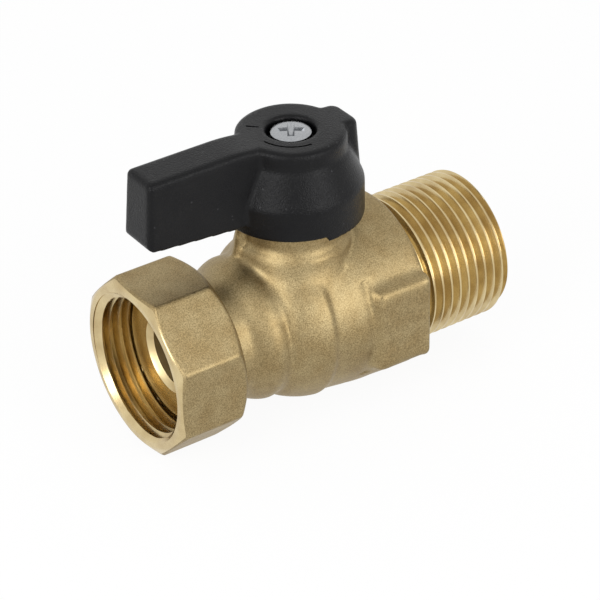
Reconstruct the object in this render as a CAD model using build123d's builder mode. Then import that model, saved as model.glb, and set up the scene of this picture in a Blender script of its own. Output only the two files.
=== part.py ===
from build123d import *
import os

os.makedirs("parts", exist_ok=True)

# Quarter-turn brass ball valve with a union nut. Sizes are in millimetres.
# X is the flow axis and points out of the male thread, Z points up along the stem.
# The origin is the centre of the male thread's end face.

# Pipe thread G 3/4: outer radius of the male end, inner radius of the nut
thread_major_r = 13.22
thread_minor_r = 12.06
thread_length = 19.1
thread_chamfer = 0.45
relief_width = 1.3
relief_slope = 0.6

# Flow passage
flow_r = 6.0
outlet_r = 7.6
outlet_depth = 20.0

# Where the stem stands, measured back from the thread's end face
stem_back = 36.2
stem_x = -stem_back

# Ball, seats and the chamber they sit in
ball_r = 9.0
ball_clearance = 0.3
seat_back = 7.9
seat_front = 4.5
seat_fit = 0.1
chamber_r = ball_r + ball_clearance

# Tailpiece screwed into the body
socket_step = 0.45
socket_fit = 0.05
socket_depth = 9.6
collar_end = 18.6
nose_r = 10.8
tail_neck_r = 9.5
flange_r = 11.7
flange_thick = 2.3
tail_face = 25.5
tail_bevel = 0.9
socket_r = chamber_r + socket_step
tail_thread_r = socket_r - socket_fit

# Union nut
nut_flats = 29.5
nut_front = 32.1
nut_back = 19.2
nut_hole_clearance = 0.4
nut_shoulder_clearance = 0.05
nut_front_circle_r = 14.25
nut_back_circle_r = 14.4
nut_chamfer_slope = 0.62
nut_mouth_chamfer = 1.0
nut_relief = 1.3
nut_edge_round = 0.9
nut_hole_r = tail_neck_r + nut_hole_clearance

# Forged outside of the body
nose_bevel = 0.2
nose_draft = 0.1
groove_end = 15.6
collar_rise = 13.8
collar_rise_drop = 0.95
collar_knee = 12.5
collar_knee_drop = 0.35
collar_top = 11.2
collar_back = 9.7
collar_back_drop = 0.2
collar_foot = 8.9
collar_foot_drop = 0.4
collar_r = 12.75
bulge_r = 15.5
bulge_start = 7.9
bulge_middle = 5.0
bulge_end = 2.0
bulge_step = 0.7
shoulder_start_r = 14.85
shoulder_end_r = 15.7
block_r = 16.0
block_flats = 32.2
block_length = 10.9
pad_low = 8.2
pad_high = 7.9
pad_round = 1.4
pad_left_round = 1.2
pad_right_round = 0.5
block_bevel = 0.4

# Stem boss and the stop lug for the lever
boss_r = 8.9
boss_top = 21.4
boss_foot_r = 9.9
boss_foot_z = 14.9
boss_bevel = 0.5
cove_out = 1.7
cove_deep = 5.3
cove_low_out = 1.1
cove_low_deep = 4.2
cove_mid_out = 0.6
cove_mid_deep = 3.0
cove_high_out = 0.25
cove_high_deep = 1.8
bead_round = 0.3
bead_crown = 0.1
bead_step = 0.5
bead_rise = 1.4
stop_r = 10.6
stop_top_r = 9.95
stop_start = 164.5
stop_end = 174.5
stop_clear = 0.3
stop_play = 0.5
stop_foot_deep = 2.5
stop_foot_out = 0.6
stop_taper_high = 2.1
quarter_turn = 90

# Stem
stem_r = 4.0
stem_fit = 0.05
stem_flange_r = 5.2
stem_flange_low = 9.9
stem_flange_thick = 1.3
washer_thick = 0.8
ring_section_r = 0.66
ring_lower_z = 14.6
ring_upper_z = 18.2
tang_width = 3.4
tang_length = 7.0
tang_low = 7.1
tang_fit = 0.05
square_size = 5.6
square_fit = 0.05
stem_bore_r = stem_r + stem_fit

# Lever handle
lever_top = 34.75
arm_top = 35.55
stub_top = 34.2
skirt_low = 19.3
skirt_gap = 0.7
skirt_r = 12.1
skirt_top = 25.7
neck_low = 31.3
neck_r = 9.3
lever_reach = 30.3
lever_lean = 0.9
stub_reach = 11.2
stub_foot = 12.0
stub_round = 1.8
stub_over = 2.0
stub_fall = 0.15
knee_back = 2.0
knee_front = 3.5
knee_ease = 0.1
arm_root_gap = 0.4
skirt_bevel = 0.4
skirt_bevel_in = 0.15
skirt_bevel_up = 0.1
neck_flare = 0.45
neck_flare_low = 0.5
neck_turn = 0.1
neck_turn_high = 0.7
hub_roof = 1.2
recess_bevel = 0.4
screw_hole_gap = 0.2
lever_width_top = 7.4
lever_width_low = 8.2
lever_end_low = 23.35
lever_root_low = 21.9
lever_wall = 1.5
skirt_wall = 2.35
post_r = 6.2
post_low = 22.0
recess_r = 4.2
recess_floor = 32.2
floor_thick = 2.0
edge_round = 1.0
end_round = 1.0

# Screw
screw_head_r = 3.6
screw_head_high = 2.1
screw_r = 2.0
screw_length = 11.0
screw_fit = 0.05
screw_crown = 0.3

# How far a cut runs out past the face it opens
cut_over = 1.0
# How far an edge may lie from where it is looked for
edge_reach = 0.1

# Levels that follow from the sizes above
stem_axis = Axis((stem_x, 0, 0), (0, 0, 1))
block_right = -thread_length
block_left = block_right - block_length
seat_wall = stem_x + seat_back
collar_face = stem_x - collar_end
socket_floor = collar_face + socket_depth
flange_back = stem_x - tail_face + flange_thick
washer_low = stem_flange_low + stem_flange_thick
washer_top = washer_low + washer_thick
stop_top = skirt_low + skirt_gap - stop_clear
stem_top = recess_floor - floor_thick - 0.1
lever_high = arm_top + cut_over
seat_inner_r = flow_r + 0.2
seat_lip = (chamber_r ** 2 - seat_inner_r ** 2) ** 0.5
seat_front_r = (chamber_r ** 2 - seat_front ** 2) ** 0.5
flow_plane = Plane.XZ
stem_plane = Plane(origin=(stem_x, 0, 0), x_dir=(1, 0, 0), z_dir=(0, -1, 0))
stop_way = Vector(1, 0, 0).rotate(Axis.Z, stop_start)
stop_plane = Plane(origin=(stem_x, 0, 0), x_dir=stop_way, z_dir=stop_way.cross(Vector(0, 0, 1)))


# Spanner pads of the body: flats on both sides that stand proud of the round shoulder
with BuildPart() as spanner_pads:
    with Locations((block_left + block_length / 2, 0, (pad_high - pad_low) / 2)):
        Box(block_length, block_flats, pad_high + pad_low)
    fillet(spanner_pads.edges().filter_by(Axis.X), pad_round)
    fillet(spanner_pads.faces().sort_by(Axis.X)[0].edges(), pad_left_round)
    fillet(spanner_pads.faces().sort_by(Axis.X)[-1].edges(), pad_right_round)

# Stem boss of the body with a flared foot
with BuildPart() as stem_boss:
    with BuildSketch(stem_plane):
        with BuildLine():
            Polyline(
                (0, 0),
                (boss_foot_r + cove_out, 0),
                (boss_foot_r + cove_out, boss_foot_z - cove_deep),
                (boss_foot_r + cove_low_out, boss_foot_z - cove_low_deep),
                (boss_foot_r + cove_mid_out, boss_foot_z - cove_mid_deep),
                (boss_foot_r + cove_high_out, boss_foot_z - cove_high_deep),
                (boss_foot_r, boss_foot_z - bead_round),
                (boss_foot_r - bead_round, boss_foot_z + bead_crown),
                (boss_r + bead_round, boss_foot_z + bead_step),
                (boss_r, boss_foot_z + bead_rise),
                (boss_r, boss_top - boss_bevel),
                (boss_r - boss_bevel, boss_top),
                (0, boss_top),
                (0, 0),
            )
        make_face()
    revolve(axis=stem_axis)

# Forged body with the male thread end, the spanner block and the stem boss
with BuildPart() as valve_body:
    with BuildSketch(flow_plane):
        with BuildLine():
            Polyline(
                (collar_face, 0),
                (collar_face, nose_r - nose_bevel),
                (collar_face + nose_bevel, nose_r),
                (stem_x - groove_end, nose_r + nose_draft),
            )
            Spline(
                (stem_x - groove_end, nose_r + nose_draft),
                (stem_x - collar_rise, collar_r - collar_rise_drop),
                (stem_x - collar_knee, collar_r - collar_knee_drop),
                (stem_x - collar_top, collar_r),
                (stem_x - collar_back, collar_r - collar_back_drop),
                tangents=((1, 0.15), (1, -0.3)),
            )
            Polyline(
                (stem_x - collar_back, collar_r - collar_back_drop),
                (stem_x - collar_foot, collar_r - collar_foot_drop),
                (stem_x - bulge_start, (bulge_r ** 2 - bulge_start ** 2) ** 0.5),
            )
            ThreePointArc(
                (stem_x - bulge_start, (bulge_r ** 2 - bulge_start ** 2) ** 0.5),
                (stem_x - bulge_middle, (bulge_r ** 2 - bulge_middle ** 2) ** 0.5),
                (stem_x - bulge_end, (bulge_r ** 2 - bulge_end ** 2) ** 0.5),
            )
            Polyline(
                (stem_x - bulge_end, (bulge_r ** 2 - bulge_end ** 2) ** 0.5),
                (stem_x - bulge_end + bulge_step, shoulder_start_r),
                (block_left, shoulder_end_r),
                (block_right - block_bevel, block_r),
                (block_right, block_r - block_bevel),
                (block_right, thread_minor_r),
                (block_right + relief_width, thread_minor_r),
                (block_right + relief_width + relief_slope, thread_major_r),
                (-thread_chamfer, thread_major_r),
                (0, thread_major_r - thread_chamfer),
                (0, 0),
                (collar_face, 0),
            )
        make_face()
    revolve(axis=Axis.X)
    add(spanner_pads.part)
    add(stem_boss.part)
    # Stop lug that limits the lever to a quarter turn
    with BuildSketch(stop_plane):
        with BuildLine():
            Polyline(
                (stem_flange_r, boss_foot_z - stop_foot_deep),
                (stop_r + stop_foot_out, boss_foot_z - stop_foot_deep),
                (stop_r, boss_foot_z + stop_taper_high),
                (stop_top_r, stop_top),
                (stem_flange_r, stop_top),
                (stem_flange_r, boss_foot_z - stop_foot_deep),
            )
        make_face()
    revolve(axis=stem_axis, revolution_arc=stop_end - stop_start)
    # Chamber, tailpiece socket, outlet bore and stem bore
    with BuildSketch(flow_plane):
        with BuildLine():
            Polyline(
                (collar_face - cut_over, 0),
                (collar_face - cut_over, socket_r),
                (socket_floor, socket_r),
                (socket_floor, chamber_r),
                (seat_wall, chamber_r),
                (seat_wall, flow_r),
                (-outlet_depth, flow_r),
                (-outlet_depth + outlet_r - flow_r, outlet_r),
                (cut_over, outlet_r),
                (cut_over, 0),
                (collar_face - cut_over, 0),
            )
        make_face()
    revolve(axis=Axis.X, mode=Mode.SUBTRACT)
    with BuildSketch(stem_plane):
        with BuildLine():
            Polyline(
                (0, 0),
                (stem_flange_r + 0.3, 0),
                (stem_flange_r + 0.3, washer_top),
                (stem_bore_r, washer_top),
                (stem_bore_r, boss_top + cut_over),
                (0, boss_top + cut_over),
                (0, 0),
            )
        make_face()
    revolve(axis=stem_axis, mode=Mode.SUBTRACT)
valve_body.part.label = "valve_body"
export_step(valve_body.part, "parts/valve_body.step")

# Turned tailpiece: screwed into the collar, its flange holds the nut
with BuildPart() as union_tailpiece:
    with BuildSketch(flow_plane):
        with BuildLine():
            Polyline(
                (stem_x - seat_back, flow_r),
                (stem_x - seat_back, chamber_r - seat_fit),
                (socket_floor, chamber_r - seat_fit),
                (socket_floor, tail_thread_r),
                (collar_face, tail_thread_r),
                (collar_face - 0.3, tail_neck_r),
                (flange_back, tail_neck_r),
                (flange_back, flange_r),
                (stem_x - tail_face + 0.3, flange_r),
                (stem_x - tail_face, flange_r - 0.3),
                (stem_x - tail_face, flow_r + tail_bevel),
                (stem_x - tail_face + tail_bevel, flow_r),
                (stem_x - seat_back, flow_r),
            )
        make_face()
    revolve(axis=Axis.X)
union_tailpiece.part.label = "union_tailpiece"
export_step(union_tailpiece.part, "parts/union_tailpiece.step")

# Loose octagonal nut, turned to a cone at both ends
with BuildPart() as union_nut:
    with BuildSketch(Plane(origin=(stem_x - nut_front, 0, 0), x_dir=(0, 1, 0), z_dir=(1, 0, 0))):
        RegularPolygon(radius=nut_flats / 2, side_count=8, major_radius=False, rotation=22.5)
    extrude(amount=nut_front - nut_back)
    fillet(union_nut.edges().filter_by(Axis.X), nut_edge_round)
    with BuildSketch(flow_plane):
        with BuildLine():
            Polyline(
                (stem_x - nut_front, 0),
                (stem_x - nut_front, nut_front_circle_r),
                (stem_x - nut_front + 3 * nut_chamfer_slope, nut_front_circle_r + 3),
                (stem_x - nut_back - 3 * nut_chamfer_slope * 1.4, nut_back_circle_r + 3),
                (stem_x - nut_back, nut_back_circle_r),
                (stem_x - nut_back, 0),
                (stem_x - nut_front, 0),
            )
        make_face()
    revolve(axis=Axis.X, mode=Mode.INTERSECT)
    with BuildSketch(flow_plane):
        with BuildLine():
            Polyline(
                (stem_x - nut_front, 0),
                (stem_x - nut_front, thread_minor_r + nut_mouth_chamfer * 1.2),
                (stem_x - nut_front + nut_mouth_chamfer, thread_minor_r),
                (stem_x - tail_face - 0.3, thread_minor_r),
                (stem_x - tail_face + 0.1, thread_minor_r + nut_relief),
                (flange_back + nut_shoulder_clearance, thread_minor_r + nut_relief),
                (flange_back + nut_shoulder_clearance, nut_hole_r),
                (stem_x - nut_back, nut_hole_r),
                (stem_x - nut_back, 0),
                (stem_x - nut_front, 0),
            )
        make_face()
    revolve(axis=Axis.X, mode=Mode.SUBTRACT)
union_nut.part.label = "union_nut"
export_step(union_nut.part, "parts/union_nut.step")

# Bored ball with a slot for the stem
with BuildPart() as ball:
    with Locations((stem_x, 0, 0)):
        Sphere(radius=ball_r)
        Cylinder(radius=flow_r, height=3 * ball_r, rotation=(0, 90, 0), mode=Mode.SUBTRACT)
    with Locations((stem_x, 0, tang_low - tang_fit + ball_r / 2)):
        Box(tang_width + 2 * tang_fit, 3 * ball_r, ball_r, mode=Mode.SUBTRACT)
ball.part.label = "ball"
export_step(ball.part, "parts/ball.step")

# Ring the ball seals on, at the tailpiece
with BuildPart() as seat_ring_inlet:
    with BuildSketch(flow_plane):
        with BuildLine():
            Polyline(
                (stem_x - seat_lip, seat_inner_r),
                (stem_x - seat_back, seat_inner_r),
                (stem_x - seat_back, chamber_r - seat_fit),
                (stem_x - seat_front, chamber_r - seat_fit),
                (stem_x - seat_front, seat_front_r),
            )
            RadiusArc((stem_x - seat_front, seat_front_r), (stem_x - seat_lip, seat_inner_r), -chamber_r)
        make_face()
    revolve(axis=Axis.X)
seat_ring_inlet.part.label = "seat_ring_inlet"
export_step(seat_ring_inlet.part, "parts/seat_ring_inlet.step")

# Ring the ball seals on, at the male thread
with BuildPart() as seat_ring_outlet:
    with BuildSketch(flow_plane):
        with BuildLine():
            Polyline(
                (stem_x + seat_lip, seat_inner_r),
                (stem_x + seat_back, seat_inner_r),
                (stem_x + seat_back, chamber_r - seat_fit),
                (stem_x + seat_front, chamber_r - seat_fit),
                (stem_x + seat_front, seat_front_r),
            )
            RadiusArc((stem_x + seat_front, seat_front_r), (stem_x + seat_lip, seat_inner_r), chamber_r)
        make_face()
    revolve(axis=Axis.X)
seat_ring_outlet.part.label = "seat_ring_outlet"
export_step(seat_ring_outlet.part, "parts/seat_ring_outlet.step")

# Stem: tang in the ball, flange, two seal grooves and a square top
ring_inner_r = stem_bore_r - 0.03 - 2 * ring_section_r
with BuildPart() as stem:
    with BuildSketch(stem_plane):
        with BuildLine():
            Polyline(
                (0, stem_flange_low),
                (stem_flange_r, stem_flange_low),
                (stem_flange_r, washer_low),
                (stem_r, washer_low),
                (stem_r, ring_lower_z - ring_section_r - 0.1),
                (ring_inner_r, ring_lower_z - ring_section_r - 0.1),
                (ring_inner_r, ring_lower_z + ring_section_r + 0.1),
                (stem_r, ring_lower_z + ring_section_r + 0.1),
                (stem_r, ring_upper_z - ring_section_r - 0.1),
                (ring_inner_r, ring_upper_z - ring_section_r - 0.1),
                (ring_inner_r, ring_upper_z + ring_section_r + 0.1),
                (stem_r, ring_upper_z + ring_section_r + 0.1),
                (stem_r, post_low),
                (0, post_low),
                (0, stem_flange_low),
            )
        make_face()
    revolve(axis=stem_axis)
    with Locations((stem_x, 0, (post_low + stem_top) / 2)):
        Box(square_size, square_size, stem_top - post_low)
    with Locations((stem_x, 0, (tang_low + stem_flange_low) / 2)):
        Box(tang_width, tang_length, stem_flange_low - tang_low)
    with Locations((stem_x, 0, recess_floor - screw_length / 2 - 0.3)):
        Cylinder(radius=screw_r + screw_fit, height=screw_length + 0.6, mode=Mode.SUBTRACT)
stem.part.label = "stem"
export_step(stem.part, "parts/stem.step")

# Slide washer between the stem flange and the body
with BuildPart() as stem_washer:
    with Locations((stem_x, 0, washer_low + washer_thick / 2 - 0.02)):
        Cylinder(radius=stem_flange_r, height=washer_thick - 0.04)
        Cylinder(radius=stem_r + 0.02, height=washer_thick, mode=Mode.SUBTRACT)
stem_washer.part.label = "stem_washer"
export_step(stem_washer.part, "parts/stem_washer.step")

# Rubber rings that seal the stem
with BuildPart() as stem_o_ring_lower:
    with Locations((stem_x, 0, ring_lower_z)):
        Torus(major_radius=ring_inner_r + ring_section_r, minor_radius=ring_section_r)
stem_o_ring_lower.part.label = "stem_o_ring_lower"
export_step(stem_o_ring_lower.part, "parts/stem_o_ring_lower.step")

with BuildPart() as stem_o_ring_upper:
    with Locations((stem_x, 0, ring_upper_z)):
        Torus(major_radius=ring_inner_r + ring_section_r, minor_radius=ring_section_r)
stem_o_ring_upper.part.label = "stem_o_ring_upper"
export_step(stem_o_ring_upper.part, "parts/stem_o_ring_upper.step")

# Bar of the lever: long arm on one side of the hub, short stub on the other, wider below
with BuildPart() as lever_bar:
    with BuildSketch(Plane(origin=(stem_x, 0, lever_high), x_dir=(1, 0, 0), z_dir=(0, 0, 1))):
        Rectangle(3 * lever_reach, lever_width_top)
    with BuildSketch(Plane(origin=(stem_x, 0, skirt_low), x_dir=(1, 0, 0), z_dir=(0, 0, 1))):
        Rectangle(3 * lever_reach, lever_width_low)
    loft()
    with BuildSketch(stem_plane):
        with BuildLine():
            Polyline(
                (-lever_reach + end_round, lever_end_low),
                (-lever_reach + 0.3 * end_round, lever_end_low + 0.3 * end_round),
                (-lever_reach, lever_end_low + end_round),
                (-lever_reach + lever_lean, lever_high),
                (stub_reach, lever_high),
                (stub_foot, skirt_top - cut_over),
                (stub_foot, lever_root_low),
                (-skirt_r - arm_root_gap, lever_root_low),
                (-lever_reach + end_round, lever_end_low),
            )
        make_face()
    extrude(amount=lever_width_low, both=True, mode=Mode.INTERSECT)
    upright_edges = lever_bar.edges().filter_by(Axis.Y, reverse=True).filter_by(lambda e: e.length > 8)
    arm_end = stem_x - lever_reach
    end_edges = upright_edges.filter_by_position(Axis.X, arm_end - edge_reach, arm_end + lever_lean + edge_reach)
    fillet(end_edges, end_round)
    stub_edges = upright_edges.filter_by_position(Axis.X, stem_x + stub_reach - 0.6, stem_x + stub_foot + 0.1)
    fillet(stub_edges, stub_round)

# Moulded lever: hub with a flared skirt joined to the bar, hollow below
with BuildPart() as lever_handle:
    with BuildSketch(stem_plane):
        with BuildLine():
            Polyline(
                (0, skirt_low),
                (skirt_r, skirt_low),
                (skirt_r, skirt_top - skirt_bevel),
                (skirt_r - skirt_bevel_in, skirt_top + skirt_bevel_up),
                (neck_r + neck_flare, neck_low - neck_flare_low),
                (neck_r + neck_turn, neck_low),
                (neck_r, neck_low + neck_turn_high),
                (neck_r, lever_high),
                (0, lever_high),
                (0, skirt_low),
            )
        make_face()
    revolve(axis=stem_axis)
    add(lever_bar.part)
    # One smooth top: flat on the arm, easing down over the hub to the stub
    with BuildSketch(stem_plane):
        with BuildLine():
            Line((-2 * lever_reach, arm_top), (-skirt_r - knee_back, arm_top))
            Spline(
                (-skirt_r - knee_back, arm_top),
                (-neck_r + knee_front, lever_top + knee_ease),
                (neck_r / 2, lever_top - knee_ease),
                (stub_foot + stub_over, stub_top - stub_fall),
                tangents=((1, 0), (1, -0.07)),
            )
            Polyline(
                (stub_foot + stub_over, stub_top - stub_fall),
                (stub_foot + stub_over, lever_top + lever_reach),
                (-2 * lever_reach, lever_top + lever_reach),
                (-2 * lever_reach, arm_top),
            )
        make_face()
    extrude(amount=2 * skirt_r, both=True, mode=Mode.SUBTRACT)
    top_edges = lever_handle.edges().filter_by_position(Axis.Z, stub_top - 2 * stub_fall, arm_top + edge_reach)
    knee_x = stem_x - skirt_r - knee_back
    fillet(top_edges.filter_by(lambda e: abs(e.center().X - knee_x) > edge_reach), edge_round)
    # Gap in the skirt's lower edge that runs over the stop lug
    with BuildSketch(Plane(origin=(stem_x, 0, skirt_low), x_dir=(1, 0, 0), z_dir=(0, 0, 1))):
        with BuildLine():
            gap_swing = stop_end - stop_start + quarter_turn + 2 * stop_play
            gap_arc = CenterArc((0, 0), skirt_r + cut_over, stop_start - stop_play, gap_swing)
            Line((0, 0), gap_arc @ 0)
            Line((0, 0), gap_arc @ 1)
        make_face()
    extrude(amount=skirt_gap, mode=Mode.SUBTRACT)
    # Hollow between the skirt and the post on the stem
    with BuildSketch(stem_plane):
        with BuildLine():
            Polyline(
                (0, skirt_low - cut_over),
                (skirt_r - skirt_wall, skirt_low - cut_over),
                (skirt_r - skirt_wall, skirt_top - skirt_bevel),
                (neck_r - lever_wall, neck_low - hub_roof),
                (post_r, neck_low - hub_roof),
                (post_r, post_low),
                (0, post_low),
                (0, skirt_low - cut_over),
            )
        make_face()
    revolve(axis=stem_axis, mode=Mode.SUBTRACT)
    # Hollow under the arm
    with Locations((stem_x - (lever_reach + skirt_r) / 2 + lever_wall / 2, 0, (lever_top - lever_wall) / 2)):
        Box(
            lever_reach - skirt_r - lever_wall,
            lever_width_top - 2 * lever_wall,
            lever_top - lever_wall,
            mode=Mode.SUBTRACT,
        )
    # Square socket for the stem, screw hole and screw recess
    with Locations((stem_x, 0, (post_low + recess_floor - floor_thick) / 2)):
        Box(
            square_size + 2 * square_fit,
            square_size + 2 * square_fit,
            recess_floor - floor_thick - post_low,
            mode=Mode.SUBTRACT,
        )
    with BuildSketch(stem_plane):
        with BuildLine():
            Polyline(
                (0, recess_floor - floor_thick),
                (screw_r + screw_hole_gap, recess_floor - floor_thick),
                (screw_r + screw_hole_gap, recess_floor),
                (recess_r, recess_floor),
                (recess_r, lever_top - recess_bevel),
                (recess_r + recess_bevel, lever_top),
                (recess_r + recess_bevel, lever_top + cut_over),
                (0, lever_top + cut_over),
                (0, recess_floor - floor_thick),
            )
        make_face()
    revolve(axis=stem_axis, mode=Mode.SUBTRACT)
lever_handle.part.label = "lever_handle"
export_step(lever_handle.part, "parts/lever_handle.step")

# Cross-recess screw that holds the lever on the stem
with BuildPart() as handle_screw:
    with BuildSketch(stem_plane):
        with BuildLine():
            Polyline(
                (0, recess_floor - screw_length),
                (screw_r, recess_floor - screw_length),
                (screw_r, recess_floor),
                (screw_head_r, recess_floor),
                (screw_head_r, recess_floor + screw_head_high),
                (0, recess_floor + screw_head_high + screw_crown),
                (0, recess_floor - screw_length),
            )
        make_face()
    revolve(axis=stem_axis)
handle_screw.part.label = "handle_screw"
export_step(handle_screw.part, "parts/handle_screw.step")
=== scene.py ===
import math
import bmesh
import bpy
from mathutils import Matrix, Vector, noise


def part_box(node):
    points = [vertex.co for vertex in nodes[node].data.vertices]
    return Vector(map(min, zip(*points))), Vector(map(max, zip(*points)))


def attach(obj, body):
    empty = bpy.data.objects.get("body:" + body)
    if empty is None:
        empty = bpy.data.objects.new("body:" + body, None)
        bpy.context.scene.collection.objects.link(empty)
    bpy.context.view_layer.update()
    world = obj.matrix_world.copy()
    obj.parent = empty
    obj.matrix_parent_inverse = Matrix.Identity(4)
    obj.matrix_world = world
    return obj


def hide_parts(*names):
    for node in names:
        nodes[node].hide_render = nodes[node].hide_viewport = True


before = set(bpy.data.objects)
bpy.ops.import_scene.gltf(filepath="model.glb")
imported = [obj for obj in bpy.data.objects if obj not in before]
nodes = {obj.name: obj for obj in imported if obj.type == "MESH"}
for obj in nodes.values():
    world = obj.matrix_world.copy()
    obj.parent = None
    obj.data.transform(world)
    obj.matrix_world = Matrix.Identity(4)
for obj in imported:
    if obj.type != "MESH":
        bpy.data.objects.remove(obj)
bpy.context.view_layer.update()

# Valve body: one brass forging with a ball chamber, a stem boss, a stop lug and two spanner pads.
# Forged hot between two dies, so every edge is soft and the skin is a little uneven, then shot-blasted.
# It is cut off here at the thread relief; the turned thread on its end is the next section.
mm = 0.001
stem_x = -36.2
block_face, cut_past = -19.1, 0.05
pad_left, pad_flat, body_low = -30.0, 16.08, 15.98
flow_keep, stem_keep, socket_from = 10.2, 6.5, -19
wall_from, wall_to, wall_top = -14.5, 4.5, 13.2
pad_middle, flank_low, flank_high, flank_out = -0.15, 5.5, 12.6, 9
boss_low, boss_high, boss_skin = 6, 18, 9.6
forging_voxel = 0.32
long_wave, long_height, short_wave, short_height = 5, 0.06, 1.6, 0.02
groove_deep, groove_half, groove_off, groove_out = 0.25, 0.9, 0.5, 12.5


def linear(code):
    """sRGB hex to the linear colour that the shaders take"""
    parts = [int(code[i:i + 2], 16) / 255 for i in (1, 3, 5)]
    return tuple(c / 12.92 if c <= 0.04045 else ((c + 0.055) / 1.055) ** 2.4 for c in parts) + (1.0,)


def add(tree, kind, settings, links=None):
    """one node, with its properties or sockets set and its inputs linked"""
    made = tree.nodes.new(kind)
    for name, value in settings.items():
        if name in made.bl_rna.properties:
            setattr(made, name, value)
        else:
            made.inputs[name].default_value = value
    for name, source in (links or {}).items():
        tree.links.new(source, made.inputs[name])
    return made


def finish_named(name, **sockets):
    """a new material with its shader's fixed values; returns the material, its tree and its shader"""
    made = bpy.data.materials.new(name)
    made.use_nodes = True
    shader = made.node_tree.nodes["Principled BSDF"]
    for socket, value in sockets.items():
        shader.inputs[socket.replace("_", " ")].default_value = value
    return made, made.node_tree, shader


# Forged brass, shot-blasted: a dull olive-gold skin of tiny dents that glint singly and blur every reflection.
# The dents are about 0.15 mm; they are drawn at 0.2 mm so that they show as the photograph's speckle.
dent_size, dent_deep, stain_size = 0.2, 0.04, 3.5
blasted_brass, tree, shader = finish_named("forged_brass_shot_blasted", Metallic=1.0)
place = add(tree, "ShaderNodeTexCoord", {}).outputs["Object"]
dents = add(tree, "ShaderNodeTexNoise", {"Scale": 1 / (dent_size * mm), "Detail": 1.0, "Roughness": 0.6},
            {"Vector": place})
cloud = add(tree, "ShaderNodeTexNoise", {"Scale": 1 / (stain_size * mm), "Detail": 3.0}, {"Vector": place})
tone = add(tree, "ShaderNodeValToRGB", {}, {"Fac": dents.outputs["Fac"]})
tone.color_ramp.elements[0].position, tone.color_ramp.elements[0].color = 0.32, linear("#887856")
tone.color_ramp.elements[1].position, tone.color_ramp.elements[1].color = 0.70, linear("#B4A178")
stain = add(tree, "ShaderNodeValToRGB", {}, {"Fac": cloud.outputs["Fac"]})
stain.color_ramp.elements[0].position, stain.color_ramp.elements[0].color = 0.30, linear("#ECE6DD")
stain.color_ramp.elements[1].position, stain.color_ramp.elements[1].color = 0.66, linear("#FFFFFF")
both = add(tree, "ShaderNodeMix", {"data_type": "RGBA", "blend_type": "MULTIPLY"})
both.inputs["Factor"].default_value = 1.0
tree.links.new(tone.outputs["Color"], both.inputs[6])
tree.links.new(stain.outputs["Color"], both.inputs[7])
tree.links.new(both.outputs[2], shader.inputs["Base Color"])
dull = add(tree, "ShaderNodeMapRange", {"To Min": 0.38, "To Max": 0.58}, {"Value": dents.outputs["Fac"]})
tree.links.new(dull.outputs["Result"], shader.inputs["Roughness"])
pits = add(tree, "ShaderNodeBump", {"Strength": 0.7, "Distance": dent_deep * mm}, {"Height": dents.outputs["Fac"]})
tree.links.new(pits.outputs["Normal"], shader.inputs["Normal"])


def merged_copy(node):
    """a CAD node's mesh with its loose triangles joined, as an edit mesh"""
    bm = bmesh.new()
    bm.from_mesh(nodes[node].data)
    bmesh.ops.remove_doubles(bm, verts=bm.verts, dist=0.002 * mm)
    return bm


def new_piece(name, bm, *finishes):
    """the edit mesh as an object at the origin"""
    bmesh.ops.recalc_face_normals(bm, faces=bm.faces)
    mesh = bpy.data.meshes.new(name)
    bm.to_mesh(mesh)
    bm.free()
    for finish in finishes:
        mesh.materials.append(finish)
    mesh.shade_smooth()
    piece = bpy.data.objects.new(name, mesh)
    bpy.context.scene.collection.objects.link(piece)
    return piece


def bake(piece):
    """applies the piece's modifiers to its mesh"""
    bpy.context.view_layer.update()
    done = bpy.data.meshes.new_from_object(piece.evaluated_get(bpy.context.evaluated_depsgraph_get()))
    piece.modifiers.clear()
    piece.data = done


def skin_over(piece, voxel):
    """an even skin of small faces over the piece"""
    skin = piece.modifiers.new("skin", "REMESH")
    skin.mode, skin.voxel_size, skin.use_smooth_shade = "VOXEL", voxel, True
    bake(piece)


def rub(piece, rounds, is_free):
    """rubs the skin round where the rule allows it, with places given in mm"""
    free = piece.vertex_groups.new(name="free")
    free.add([v.index for v in piece.data.vertices if is_free(v.co / mm)], 1.0, "REPLACE")
    cloth = piece.modifiers.new("cloth", "SMOOTH")
    cloth.factor, cloth.iterations, cloth.vertex_group = 0.5, rounds, "free"
    bake(piece)
    piece.vertex_groups.clear()


def from_stem(p):
    """distance from the stem's axis"""
    return math.hypot(p.x - stem_x, p.y)


def outside_of_body(p):
    """true away from the flow bores and the stem's bore, which keep their size"""
    in_flow = math.hypot(p.y, p.z) < flow_keep and p.x > stem_x + socket_from
    in_stem = from_stem(p) < stem_keep and p.z > 0
    return not (in_flow or in_stem)


def on_chamber(p):
    """the walls of the ball chamber, below the boss"""
    return outside_of_body(p) and wall_from < p.x - stem_x < wall_to and p.z < wall_top


def on_pad_flank(p):
    """the forging above and below each spanner pad"""
    beside = flank_low < abs(p.z - pad_middle) < flank_high and abs(p.y) > flank_out
    return beside and pad_left - 2.5 < p.x < block_face - 1.1


def on_boss_flank(p):
    """the nut's side of the boss and of the stop lug"""
    return boss_low < p.z < boss_high and p.x < stem_x - 3 and from_stem(p) > boss_skin


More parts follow.
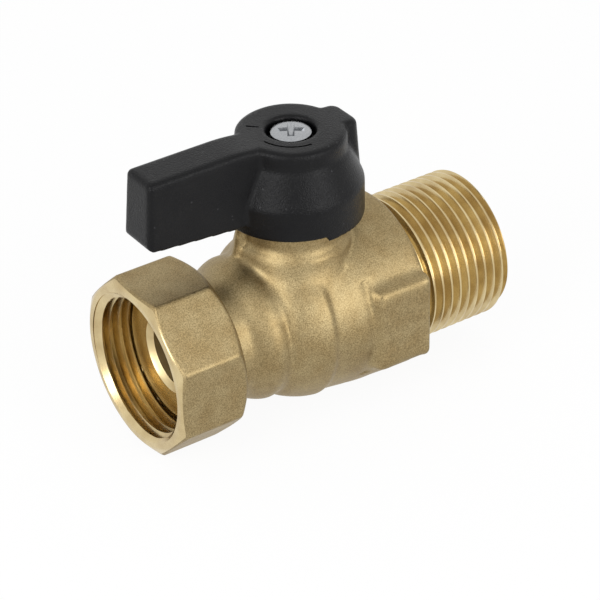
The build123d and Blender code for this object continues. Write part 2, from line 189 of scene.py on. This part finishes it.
bm = merged_copy("valve_body")
bmesh.ops.bisect_plane(bm, geom=bm.verts[:] + bm.edges[:] + bm.faces[:], dist=0.0001 * mm,
                       plane_co=((block_face + cut_past) * mm, 0, 0), plane_no=(1, 0, 0), clear_outer=True)
bmesh.ops.triangle_fill(bm, use_beauty=True, edges=[e for e in bm.edges if e.is_boundary])
forging = new_piece("body_forging", bm, blasted_brass)
skin_over(forging, forging_voxel * mm)
for rounds, is_free in ((4, outside_of_body), (14, on_chamber), (60, on_pad_flank), (45, on_boss_flank)):
    rub(forging, rounds, is_free)
outward = [v.normal.copy() for v in forging.data.vertices]
for v, out in zip(forging.data.vertices, outward):
    if outside_of_body(v.co / mm) and v.co.x < (block_face - 0.6) * mm:
        wave = (noise.noise(v.co / (long_wave * mm)) * long_height
                + noise.noise(v.co / (short_wave * mm)) * short_height)
        from_groove = (v.co.x / mm - pad_left + groove_off) / groove_half
        groove = math.exp(-from_groove ** 2) if abs(v.co.y) > groove_out * mm else 0
        v.co += out * (wave - groove_deep * groove) * mm
        v.co.y = max(min(v.co.y, pad_flat * mm), -pad_flat * mm)
        v.co.z = max(v.co.z, -body_low * mm)
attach(forging, "body")
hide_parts("valve_body")

# Male end: a G 3/4 pipe thread, 14 turns to the inch, right-hand, on the end of the forging.
# Turned and cut on a lathe in bare brass, with a relief groove at the block and a chamfer at the end.
# The turns come from one node tree, which the nut's thread uses too.
pitch = 25.4 / 14
crest_r = 13.22
root_r = 12.06
outlet_r = 7.6
pipe_end, relief_end, tucked_in = 0.0, -17.8, 0.3
root_flat, crest_flat = 1 / 12, 5 / 12
rows_a_turn = 24

# Turned brass, bare: yellow gold and bright, with fine rings left by the tool.
# The tool's rings are about 0.08 mm apart; they are drawn at 0.25 mm so that they show.
ring_size, ring_deep, tarnish_size = 0.25, 0.02, 4
turned_brass, tree, shader = finish_named("turned_brass_bare", Metallic=1.0)
place = add(tree, "ShaderNodeTexCoord", {}).outputs["Object"]
along = add(tree, "ShaderNodeMapping", {"Scale": (1.0, 0.06, 0.06)}, {"Vector": place})
rings = add(tree, "ShaderNodeTexNoise", {"Scale": 1 / (ring_size * mm), "Detail": 2.0},
            {"Vector": along.outputs["Vector"]})
tarnish = add(tree, "ShaderNodeTexNoise", {"Scale": 1 / (tarnish_size * mm), "Detail": 3.0}, {"Vector": place})
tone = add(tree, "ShaderNodeValToRGB", {}, {"Fac": tarnish.outputs["Fac"]})
tone.color_ramp.elements[0].position, tone.color_ramp.elements[0].color = 0.30, linear("#BDA77B")
tone.color_ramp.elements[1].position, tone.color_ramp.elements[1].color = 0.68, linear("#D6C396")
tree.links.new(tone.outputs["Color"], shader.inputs["Base Color"])
gloss = add(tree, "ShaderNodeMapRange", {"To Min": 0.16, "To Max": 0.32}, {"Value": rings.outputs["Fac"]})
tree.links.new(gloss.outputs["Result"], shader.inputs["Roughness"])
lines = add(tree, "ShaderNodeBump", {"Strength": 0.25, "Distance": ring_deep * mm}, {"Height": rings.outputs["Fac"]})
tree.links.new(lines.outputs["Normal"], shader.inputs["Normal"])

# The node tree: a grid wrapped round the pipe axis with its rows along the helix, raised by the thread's form.
# Rows that pass an end fold onto it, and the thread fades out at both ends.
cut_thread = bpy.data.node_groups.new("cut_thread", "GeometryNodeTree")
for label, kind in (("Groove radius", "Float"), ("Height", "Float"), ("Pitch", "Float"), ("Start", "Float"),
                    ("Length", "Float"), ("Row step", "Float"), ("Run-in", "Float"), ("Run-out", "Float"),
                    ("Rim height", "Float"), ("Around", "Int"), ("Rows", "Int"), ("Brass", "Material")):
    cut_thread.interface.new_socket(name=label, in_out="INPUT", socket_type="NodeSocket" + kind)
cut_thread.interface.new_socket(name="Thread", in_out="OUTPUT", socket_type="NodeSocketGeometry")
given = add(cut_thread, "NodeGroupInput", {}).outputs


def sum_of(operation, first, second):
    """one arithmetic step of the thread's rule; a number or a socket on each side"""
    step = add(cut_thread, "ShaderNodeMath", {"operation": operation})
    for i, value in enumerate((first, second)):
        if isinstance(value, (int, float)):
            step.inputs[i].default_value = value
        else:
            cut_thread.links.new(value, step.inputs[i])
    return step.outputs[0]


grid = add(cut_thread, "GeometryNodeMeshGrid", {"Size X": 1.0, "Size Y": 1.0},
           {"Vertices X": given["Around"], "Vertices Y": given["Rows"]})
spot = add(cut_thread, "ShaderNodeSeparateXYZ", {},
           {"Vector": add(cut_thread, "GeometryNodeInputPosition", {}).outputs["Position"]})
turn = sum_of("ADD", spot.outputs["X"], 0.5)
angle = sum_of("MULTIPLY", turn, 2 * math.pi)
rows_gone = sum_of("MULTIPLY", sum_of("ADD", spot.outputs["Y"], 0.5), sum_of("SUBTRACT", given["Rows"], 1))
climb = sum_of("MULTIPLY", sum_of("SUBTRACT", turn, 1), given["Pitch"])
helix = sum_of("ADD", sum_of("MULTIPLY", rows_gone, given["Row step"]), climb)
gone = sum_of("MINIMUM", sum_of("MAXIMUM", helix, 0), given["Length"])
left = sum_of("SUBTRACT", given["Length"], gone)
along_pipe = sum_of("ADD", given["Start"], gone)
flank = sum_of("PINGPONG", sum_of("SUBTRACT", sum_of("DIVIDE", gone, given["Pitch"]), turn), 0.5)
ridge = add(cut_thread, "ShaderNodeMapRange", {"From Min": root_flat, "From Max": crest_flat}, {"Value": flank})
fade = sum_of("MINIMUM", sum_of("DIVIDE", gone, given["Run-in"]),
              sum_of("ADD", given["Rim height"], sum_of("DIVIDE", left, given["Run-out"])))
raised = sum_of("MULTIPLY", given["Height"], sum_of("MINIMUM", ridge.outputs["Result"], fade))
radius = sum_of("ADD", given["Groove radius"], raised)
wrapped = add(cut_thread, "ShaderNodeCombineXYZ", {},
              {"X": along_pipe, "Y": sum_of("MULTIPLY", radius, sum_of("COSINE", angle, 0)),
               "Z": sum_of("MULTIPLY", radius, sum_of("SINE", angle, 0))})
tube = add(cut_thread, "GeometryNodeSetPosition", {},
           {"Geometry": grid.outputs["Mesh"], "Position": wrapped.outputs["Vector"]})
seam = add(cut_thread, "GeometryNodeMergeByDistance", {"Distance": 0.0005 * mm},
           {"Geometry": tube.outputs["Geometry"]})
real = add(cut_thread, "GeometryNodeRealizeInstances", {}, {"Geometry": seam.outputs["Geometry"]})
brass = add(cut_thread, "GeometryNodeSetMaterial", {},
            {"Geometry": real.outputs["Geometry"], "Material": given["Brass"]})
add(cut_thread, "NodeGroupOutput", {}, {"Thread": brass.outputs["Geometry"]})


def thread_tube(values):
    """the open tube of turns that the tree gives for these sizes, as an edit mesh"""
    values["Row step"] = values["Pitch"] / rows_a_turn
    values["Rows"] = math.ceil((values["Length"] / values["Pitch"] + 1) * rows_a_turn) + 1
    holder = bpy.data.objects.new("thread_tube", bpy.data.meshes.new("thread_tube"))
    bpy.context.scene.collection.objects.link(holder)
    cutter = holder.modifiers.new("cut_thread", "NODES")
    cutter.node_group = cut_thread
    for item in cut_thread.interface.items_tree:
        if item.in_out == "INPUT":
            cutter[item.identifier] = values[item.name]
    bake(holder)
    bm = bmesh.new()
    bm.from_mesh(holder.data)
    bpy.data.objects.remove(holder)
    return bm


def draw_on(bm, rim, rings, finish=0):
    """carries an open rim on through rings of (x, radius) about the pipe axis, in mm; either may follow the angle"""
    for ring_x, ring_r in rings:
        made = bmesh.ops.extrude_edge_only(bm, edges=rim)["geom"]
        verts = [g for g in made if isinstance(g, bmesh.types.BMVert)]
        new = set(verts)
        rim = list(dict.fromkeys(e for v in verts for e in v.link_edges if new.issuperset(e.verts)))
        for v in verts:
            at = math.atan2(v.co.z, v.co.y)
            x = ring_x(at) if callable(ring_x) else ring_x
            r = ring_r(at) if callable(ring_r) else ring_r
            v.co = Vector((x, r * math.cos(at), r * math.sin(at))) * mm
        for face in made:
            if isinstance(face, bmesh.types.BMFace):
                face.material_index = finish
    return rim


def open_rim(bm, at_x):
    """the open edges at one end of a tube"""
    return [e for e in bm.edges if e.is_boundary and abs(e.verts[0].co.x / mm - at_x) < 0.05]


bm = thread_tube({"Groove radius": root_r * mm, "Height": (crest_r - root_r) * mm, "Pitch": pitch * mm,
                  "Start": relief_end * mm, "Length": -relief_end * mm, "Run-in": 0.7 * mm, "Run-out": 1.16 * mm,
                  "Rim height": 0.61, "Around": 193, "Brass": turned_brass})
draw_on(bm, open_rim(bm, pipe_end), [
    (pipe_end, 8.3), (-0.1, 8.15), (-0.65, outlet_r), (-10.0, outlet_r), (block_face - tucked_in, outlet_r),
    (block_face - tucked_in, root_r), (block_face, root_r), (relief_end, root_r)])
bmesh.ops.remove_doubles(bm, verts=bm.verts, dist=0.001 * mm)
male_thread = new_piece("male_thread", bm, turned_brass)
male_thread.data.set_sharp_from_angle(angle=math.radians(38))
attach(male_thread, "body")
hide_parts("valve_body")

# Ball: a bored brass ball that opens and shuts the way.
# Ground round and chromium plated, so it is bright and slips on its seats; the stem's tang turns it by a slot.
haze_size = 1.5
chrome, tree, shader = finish_named("brass_chromium_plated", Metallic=1.0, Base_Color=linear("#CFD2D4"))
place = add(tree, "ShaderNodeTexCoord", {}).outputs["Object"]
haze = add(tree, "ShaderNodeTexNoise", {"Scale": 1 / (haze_size * mm), "Detail": 4.0}, {"Vector": place})
gloss = add(tree, "ShaderNodeMapRange", {"To Min": 0.06, "To Max": 0.16}, {"Value": haze.outputs["Fac"]})
tree.links.new(gloss.outputs["Result"], shader.inputs["Roughness"])


def give(finish, *names):
    """sets a CAD node's finish"""
    for name in names:
        nodes[name].data.materials.clear()
        nodes[name].data.materials.append(finish)


give(chrome, "ball")

# Seats and stem washer: rings of white PTFE that the ball and the stem's flange press on.
# Turned from rod, so they are waxy and matt with faint rings.
wax_size = 0.6
ptfe, tree, shader = finish_named("ptfe_turned", IOR=1.36)
place = add(tree, "ShaderNodeTexCoord", {}).outputs["Object"]
wax = add(tree, "ShaderNodeTexNoise", {"Scale": 1 / (wax_size * mm), "Detail": 3.0}, {"Vector": place})
tone = add(tree, "ShaderNodeValToRGB", {}, {"Fac": wax.outputs["Fac"]})
tone.color_ramp.elements[0].color, tone.color_ramp.elements[1].color = linear("#DDDCD4"), linear("#F0EFEA")
tree.links.new(tone.outputs["Color"], shader.inputs["Base Color"])
matt = add(tree, "ShaderNodeMapRange", {"To Min": 0.42, "To Max": 0.6}, {"Value": wax.outputs["Fac"]})
tree.links.new(matt.outputs["Result"], shader.inputs["Roughness"])
give(ptfe, "seat_ring_inlet", "seat_ring_outlet", "stem_washer")

# Stem: the brass spindle that the lever turns, pushed up from inside the body so that it can't blow out.
# Turned from bar, with a flat tang below and a square above; two rubber rings seal it.
give(turned_brass, "stem")

# Rubber rings on the stem: two rings of black nitrile rubber that seal it in the boss.
# Moulded, so they are matt with a fine bloom; they sit in grooves turned in the stem.
bloom_size = 0.4
rubber, tree, shader = finish_named("nitrile_rubber_moulded", IOR=1.52)
place = add(tree, "ShaderNodeTexCoord", {}).outputs["Object"]
bloom = add(tree, "ShaderNodeTexNoise", {"Scale": 1 / (bloom_size * mm), "Detail": 3.0}, {"Vector": place})
tone = add(tree, "ShaderNodeValToRGB", {}, {"Fac": bloom.outputs["Fac"]})
tone.color_ramp.elements[0].color, tone.color_ramp.elements[1].color = linear("#161617"), linear("#26262A")
tree.links.new(tone.outputs["Color"], shader.inputs["Base Color"])
matt = add(tree, "ShaderNodeMapRange", {"To Min": 0.5, "To Max": 0.7}, {"Value": bloom.outputs["Fac"]})
tree.links.new(matt.outputs["Result"], shader.inputs["Roughness"])
give(rubber, "stem_o_ring_lower", "stem_o_ring_upper")

# Union tailpiece: the brass sleeve screwed into the body, whose flange carries the loose nut.
# Turned all over; its flat end ring, seen inside the nut, takes the pipe's gasket.
bore_edge, face_edge = 6.3, 7.0

# Turned brass, drilled through: the same brass, with a rough bore that scatters the light it gets.
drilled_brass = turned_brass.copy()
drilled_brass.name = "turned_brass_drilled_through"
tree = drilled_brass.node_tree
place = add(tree, "ShaderNodeTexCoord", {}).outputs["Object"]
across = add(tree, "ShaderNodeMapping", {"Scale": (0.0, 1.0, 1.0)}, {"Vector": place})
radius = add(tree, "ShaderNodeVectorMath", {"operation": "LENGTH"}, {"Vector": across.outputs["Vector"]})
rough = add(tree, "ShaderNodeMapRange",
            {"From Min": bore_edge * mm, "From Max": face_edge * mm, "To Min": 0.5, "To Max": 0.24},
            {"Value": radius.outputs["Value"]})
tree.links.new(rough.outputs["Result"], tree.nodes["Principled BSDF"].inputs["Roughness"])
give(drilled_brass, "union_tailpiece")

# Union nut: a loose eight-sided brass nut that draws the pipe up to the tailpiece, on whose flange it bears.
# Forged and shot-blasted like the body, then turned to a cone at both ends and threaded inside.
# As in the photograph, the thread runs up to the flange, 0.6 mm further than the plain bore of the CAD.
nut_front, nut_back = stem_x - 32.1, stem_x - 19.2
across_flats, corner_round, edge_round = 29.5, 0.9, 0.5
front_circle, back_circle = 14.25, 14.4
front_slope, back_slope = 0.62, 0.868
nut_shoulder, nut_hole, hole_bevel = -59.35, 9.9, 0.4
thread_end, nut_relief, mouth_r = -61.0, 13.36, 13.32
half_side = math.pi / 8
blasted_rows = (0.15, 0.4, 0.65, 0.85, 1.0, 1.015, 1.03, 1.06, 1.2, 1.4, 1.6, 1.8, 1.94, 1.97, 1.985, 2.0, 2.15, 2.3)
turned_rows = (2.45, 2.65, 2.85)


def octagon(at):
    """the eight-sided bar's radius at an angle, with rounded corners"""
    flat = across_flats / 2
    off = abs((at + half_side) % (2 * half_side) - half_side)
    if math.tan(off) * flat <= (flat - corner_round) * math.tan(half_side):
        return flat / math.cos(off)
    centre = (flat - corner_round) / math.cos(half_side)
    side = half_side - off
    return centre * math.cos(side) + math.sqrt(corner_round ** 2 - (centre * math.sin(side)) ** 2)


def nut_radius(at, x):
    """outside of the nut: the bar, cut by the cone at each end, with the edge between them rubbed round"""
    bar = octagon(at)
    cone = min(front_circle + (x - nut_front) / front_slope, back_circle + (nut_back - x) / back_slope)
    near = max(edge_round - abs(bar - cone), 0) / edge_round
    return min(bar, cone) - near * near * edge_round / 4


def nut_row(row):
    """a ring of the nut's outside: 0 to 1 is the back cone, 1 to 2 the flats, 2 to 3 the front cone"""
    def row_x(at):
        back_edge = nut_back - (octagon(at) - back_circle) * back_slope
        front_edge = nut_front + (octagon(at) - front_circle) * front_slope
        stops = (nut_back, back_edge, front_edge, nut_front)
        part = min(int(row), 2)
        return stops[part] + (stops[part + 1] - stops[part]) * (row - part)
    return row_x, lambda at: nut_radius(at, row_x(at))


bm = thread_tube({"Groove radius": crest_r * mm, "Height": (root_r - crest_r) * mm, "Pitch": pitch * mm,
                  "Start": nut_front * mm, "Length": (thread_end - nut_front) * mm, "Run-in": 1.05 * mm,
                  "Run-out": 0.5 * mm, "Rim height": 0.0, "Around": 385, "Brass": turned_brass})
rim = draw_on(bm, open_rim(bm, thread_end), [
    (thread_end + 0.15, nut_relief), (nut_shoulder, nut_relief), (nut_shoulder, nut_hole),
    (nut_back - hole_bevel, nut_hole), (nut_back, nut_hole + hole_bevel), (nut_back, 12.5),
    (nut_back, back_circle - 0.2)], 1)
rim = draw_on(bm, rim, [nut_row(row) for row in blasted_rows], 0)
rim = draw_on(bm, rim, [nut_row(row) for row in turned_rows], 1)
draw_on(bm, rim, [
    (nut_front, front_circle - 0.15), (nut_front, 13.7), (nut_front, mouth_r), (nut_front, crest_r)], 1)
for face in bm.faces:
    middle = face.calc_center_median()
    if middle.x < thread_end * mm and math.hypot(middle.y, middle.z) < 13.3 * mm:
        face.material_index = 1
bmesh.ops.remove_doubles(bm, verts=bm.verts, dist=0.001 * mm)
nut = new_piece("union_nut_cut", bm, blasted_brass, turned_brass)
nut.data.set_sharp_from_angle(angle=math.radians(40))
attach(nut, "nut")
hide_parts("union_nut")

# Lever: one black plastic moulding with a round hub, a flared skirt over the boss, a long arm and a short stub.
# Injection moulded in glass-filled nylon, hollow below, with soft edges and a fine spark-eroded grain.
# It sits on the stem's square and is held by the screw.
lever_voxel, lever_rounds = 0.28, 6
square_keep, square_top = 5.5, 33
mark_low, mark_high, mark_steps = 34.45, 36.5, 16
pointer, arc = (5.3, 7.4, 138.2, 141.8), (6.1, 6.5, -168, -92)

# Glass-filled nylon, moulded: near-black and satin; the grain is about 0.2 mm and the dust specks 0.15 mm.
grain_size, grain_deep, flow_size, dust_apart = 0.22, 0.09, 5, 2.2
nylon, tree, shader = finish_named("glass_filled_nylon_moulded", IOR=1.53, Specular_IOR_Level=0.15)
place = add(tree, "ShaderNodeTexCoord", {}).outputs["Object"]
grain = add(tree, "ShaderNodeTexNoise", {"Scale": 1 / (grain_size * mm), "Detail": 1.0}, {"Vector": place})
flow = add(tree, "ShaderNodeTexNoise", {"Scale": 1 / (flow_size * mm), "Detail": 3.0}, {"Vector": place})
tone = add(tree, "ShaderNodeValToRGB", {}, {"Fac": flow.outputs["Fac"]})
tone.color_ramp.elements[0].position, tone.color_ramp.elements[0].color = 0.3, linear("#08080A")
tone.color_ramp.elements[1].position, tone.color_ramp.elements[1].color = 0.7, linear("#0E0E0F")
dust = add(tree, "ShaderNodeTexVoronoi", {"Scale": 1 / (dust_apart * mm)}, {"Vector": place})
speck = add(tree, "ShaderNodeMapRange", {"From Min": 0.05, "From Max": 0.09, "To Min": 0.3, "To Max": 0.0},
            {"Value": dust.outputs["Distance"]})
dusty = add(tree, "ShaderNodeMix", {"data_type": "RGBA"}, {"Factor": speck.outputs["Result"]})
dusty.inputs[7].default_value = linear("#5A5A5C")
tree.links.new(tone.outputs["Color"], dusty.inputs[6])
tree.links.new(dusty.outputs[2], shader.inputs["Base Color"])
satin = add(tree, "ShaderNodeMapRange", {"To Min": 0.24, "To Max": 0.42}, {"Value": grain.outputs["Fac"]})
tree.links.new(satin.outputs["Result"], shader.inputs["Roughness"])
spark = add(tree, "ShaderNodeBump", {"Strength": 1.0, "Distance": grain_deep * mm}, {"Height": grain.outputs["Fac"]})
tree.links.new(spark.outputs["Normal"], shader.inputs["Normal"])

lever = new_piece("lever_moulding", merged_copy("lever_handle"), nylon)
skin_over(lever, lever_voxel * mm)
rub(lever, lever_rounds, lambda p: from_stem(p) > square_keep or p.z > square_top)

# The turn mark sunk in the hub's top: a pointer line and an arc about the screw.
bm = bmesh.new()
for inner, outer, start, end in (pointer, arc):
    sections = []
    for i in range(mark_steps + 1):
        at = math.radians(start + (end - start) * i / mark_steps)
        sections.append([bm.verts.new(Vector((stem_x + r * math.cos(at), r * math.sin(at), z)) * mm)
                         for r, z in ((inner, mark_low), (outer, mark_low), (outer, mark_high), (inner, mark_high))])
    for a, b in zip(sections, sections[1:]):
        for i in range(4):
            bm.faces.new((a[i - 1], a[i], b[i], b[i - 1]))
    bm.faces.new(sections[0])
    bm.faces.new(sections[-1])
mark = new_piece("mark", bm, nylon)
sunk = lever.modifiers.new("sunk", "BOOLEAN")
sunk.object, sunk.operation, sunk.solver = mark, "DIFFERENCE", "EXACT"
bake(lever)
bpy.data.objects.remove(mark)
lever.data.set_sharp_from_angle(angle=math.radians(55))
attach(lever, "lever")
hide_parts("lever_handle")

# Screw: a domed steel screw with a cross recess that holds the lever on the stem.
# Cold-headed and zinc plated, so it is pale grey and a little frosted.
screw_end, shank_r = 21.3, 2.0
head_low, head_r, head_rim = 32.2, 3.48, 33.9
cross_top, cross_floor = (5.8, 1.5, 35.2), (1.7, 0.5, 33.0)
cross_angles = (56, 146)
frost_size, frost_deep = 0.4, 0.03

# Steel, zinc plated: a thin bluish-grey coat with a fine frost of crystals.
zinc, tree, shader = finish_named("steel_zinc_plated", Metallic=1.0)
place = add(tree, "ShaderNodeTexCoord", {}).outputs["Object"]
frost = add(tree, "ShaderNodeTexNoise", {"Scale": 1 / (frost_size * mm), "Detail": 3.0}, {"Vector": place})
tone = add(tree, "ShaderNodeValToRGB", {}, {"Fac": frost.outputs["Fac"]})
tone.color_ramp.elements[0].color, tone.color_ramp.elements[1].color = linear("#8F9194"), linear("#BABCBE")
tree.links.new(tone.outputs["Color"], shader.inputs["Base Color"])
gloss = add(tree, "ShaderNodeMapRange", {"To Min": 0.16, "To Max": 0.38}, {"Value": frost.outputs["Fac"]})
tree.links.new(gloss.outputs["Result"], shader.inputs["Roughness"])
dimple = add(tree, "ShaderNodeBump", {"Strength": 0.3, "Distance": frost_deep * mm}, {"Height": frost.outputs["Fac"]})
tree.links.new(dimple.outputs["Normal"], shader.inputs["Normal"])

# The screw is drawn along the pipe axis, from its end to its dome, and stood up on the stem.
quarter = math.pi / 2
upright = Matrix.Translation((stem_x * mm, 0, 0)) @ Matrix.Rotation(-quarter, 4, "Y")
bm = bmesh.new()
bmesh.ops.create_circle(bm, cap_ends=False, segments=64, radius=0.2 * mm,
                        matrix=Matrix.Translation((screw_end * mm, 0, 0)) @ Matrix.Rotation(quarter, 4, "Y"))
bmesh.ops.holes_fill(bm, edges=bm.edges[:])
draw_on(bm, [e for e in bm.edges if e.is_boundary], [
    (screw_end, 1.5), (21.7, shank_r), (27.0, shank_r), (head_low, shank_r), (head_low, head_r - 0.2),
    (head_low + 0.2, head_r), (head_rim - 0.1, head_r), (head_rim + 0.2, head_r - 0.06),
    (head_rim + 0.38, head_r - 0.3), (head_rim + 0.5, 2.7), (head_rim + 0.58, 2.0), (head_rim + 0.63, 1.2),
    (head_rim + 0.65, 0.2)])
bmesh.ops.holes_fill(bm, edges=[e for e in bm.edges if e.is_boundary])
bmesh.ops.transform(bm, matrix=upright, verts=bm.verts)
screw = new_piece("lever_screw", bm, zinc)
for turned in cross_angles:
    arm = bmesh.new()
    bmesh.ops.create_cube(arm, size=1.0)
    for v in arm.verts:
        long, wide, height = cross_top if v.co.z > 0 else cross_floor
        v.co = Vector((v.co.x * long, v.co.y * wide, height)) * mm
    bmesh.ops.transform(arm, verts=arm.verts, matrix=Matrix.Translation((stem_x * mm, 0, 0)) @ Matrix.Rotation(
        math.radians(turned), 4, "Z"))
    punch = new_piece("punch", arm, zinc)
    cross = screw.modifiers.new("cross", "BOOLEAN")
    cross.object, cross.operation, cross.solver = punch, "DIFFERENCE", "EXACT"
    bake(screw)
    bpy.data.objects.remove(punch)
screw.data.set_sharp_from_angle(angle=math.radians(35))
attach(screw, "lever")
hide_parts("handle_screw")

# Floor and light: a white sheet under the valve in a white room, and two soft boxes beside the camera.
# Sheet and room show white to the camera and to shiny metal; the sheet keeps the valve's shadow.
sheet_glow, sheet_half, sheet_gap = 0.93, 2.0, 0.02
room_grey, room_white = (0.73, 0.73, 0.73, 1.0), (1.0, 1.0, 1.0, 1.0)
box_wide, box_high, box_far = 0.32, 0.42, 0.6
white_sheet, tree, shader = finish_named("white_sheet", Base_Color=linear("#F4F4F4"), Roughness=0.9)


def seen_directly(tree):
    """1 for the rays that look at the background, by the camera, a reflection or glass"""
    rays = add(tree, "ShaderNodeLightPath", {}).outputs
    seen = add(tree, "ShaderNodeMath", {"operation": "MAXIMUM"}, {0: rays["Is Camera Ray"], 1: rays["Is Glossy Ray"]})
    glass = add(tree, "ShaderNodeMath", {"operation": "MAXIMUM"}, {0: seen.outputs[0], 1: rays["Is Transmission Ray"]})
    return glass.outputs[0]


share = add(tree, "ShaderNodeMath", {"operation": "MULTIPLY"}, {0: seen_directly(tree)})
share.inputs[1].default_value = sheet_glow
glow = add(tree, "ShaderNodeEmission", {"Strength": 1.0})
sheet_look = add(tree, "ShaderNodeMixShader", {}, {0: share.outputs[0], 1: shader.outputs[0], 2: glow.outputs[0]})
tree.links.new(sheet_look.outputs[0], tree.nodes["Material Output"].inputs["Surface"])
bm = bmesh.new()
bmesh.ops.create_grid(bm, x_segments=1, y_segments=1, size=sheet_half,
                      matrix=Matrix.Translation((0, 0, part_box("valve_body")[0][2] - sheet_gap * mm)))
new_piece("floor_sheet", bm, white_sheet)

world = bpy.data.worlds.new("studio")
bpy.context.scene.world = world
world.use_nodes = True
tree = world.node_tree
room_light = tree.nodes["Background"]
room_light.inputs["Color"].default_value = room_grey
room_seen = add(tree, "ShaderNodeBackground", {"Strength": 1.0, "Color": room_white})
room = add(tree, "ShaderNodeMixShader", {},
           {0: seen_directly(tree), 1: room_light.outputs[0], 2: room_seen.outputs[0]})
tree.links.new(room.outputs[0], tree.nodes["World Output"].inputs["Surface"])

valve_middle = Vector((stem_x * mm, 0, 0))
for name, azimuth, elevation, watts in (("soft_box_left", -163, 26, 1.85), ("soft_box_right", -76, 20, 1.6)):
    lamp = bpy.data.lights.new(name, "AREA")
    lamp.shape, lamp.size, lamp.size_y, lamp.energy = "RECTANGLE", box_wide, box_high, watts
    lamp_at = bpy.data.objects.new(name, lamp)
    bpy.context.scene.collection.objects.link(lamp_at)
    az, el = math.radians(azimuth), math.radians(elevation)
    aim = Vector((math.cos(az) * math.cos(el), math.sin(az) * math.cos(el), math.sin(el)))
    facing = aim.to_track_quat("Z", "Y").to_matrix().to_4x4()
    lamp_at.matrix_world = Matrix.Translation(valve_middle + aim * box_far) @ facing

# Camera: from the nut's side and above the valve, as the photograph was taken; the angles are in degrees,
# the focal length and the picture's centre in pixels of a picture 600 wide.
azimuth, elevation, roll = math.radians(33.92), math.radians(33.11), math.radians(-1.19)
camera_far, sensor, picture = 0.450, 36.0, 600
focal, centre_x, centre_y = 2635.0, 294.48, 305.81
back = Vector((-math.sin(azimuth) * math.cos(elevation), -math.cos(azimuth) * math.cos(elevation),
               math.sin(elevation)))
right = Vector((math.cos(azimuth), -math.sin(azimuth), 0))
up = back.cross(right)
right, up = right * math.cos(roll) + up * math.sin(roll), up * math.cos(roll) - right * math.sin(roll)
lens = bpy.data.cameras.new("camera")
lens.sensor_width, lens.lens = sensor, focal / picture * sensor
lens.shift_x, lens.shift_y = (picture / 2 - centre_x) / picture, (centre_y - picture / 2) / picture
lens.clip_start = 0.01
camera = bpy.data.objects.new("camera", lens)
bpy.context.scene.collection.objects.link(camera)
camera.matrix_world = Matrix.Translation(valve_middle + back * camera_far) @ Matrix(
    (right, up, back)).transposed().to_4x4()
bpy.context.scene.camera = camera
bpy.context.scene.view_settings.view_transform = "Standard"
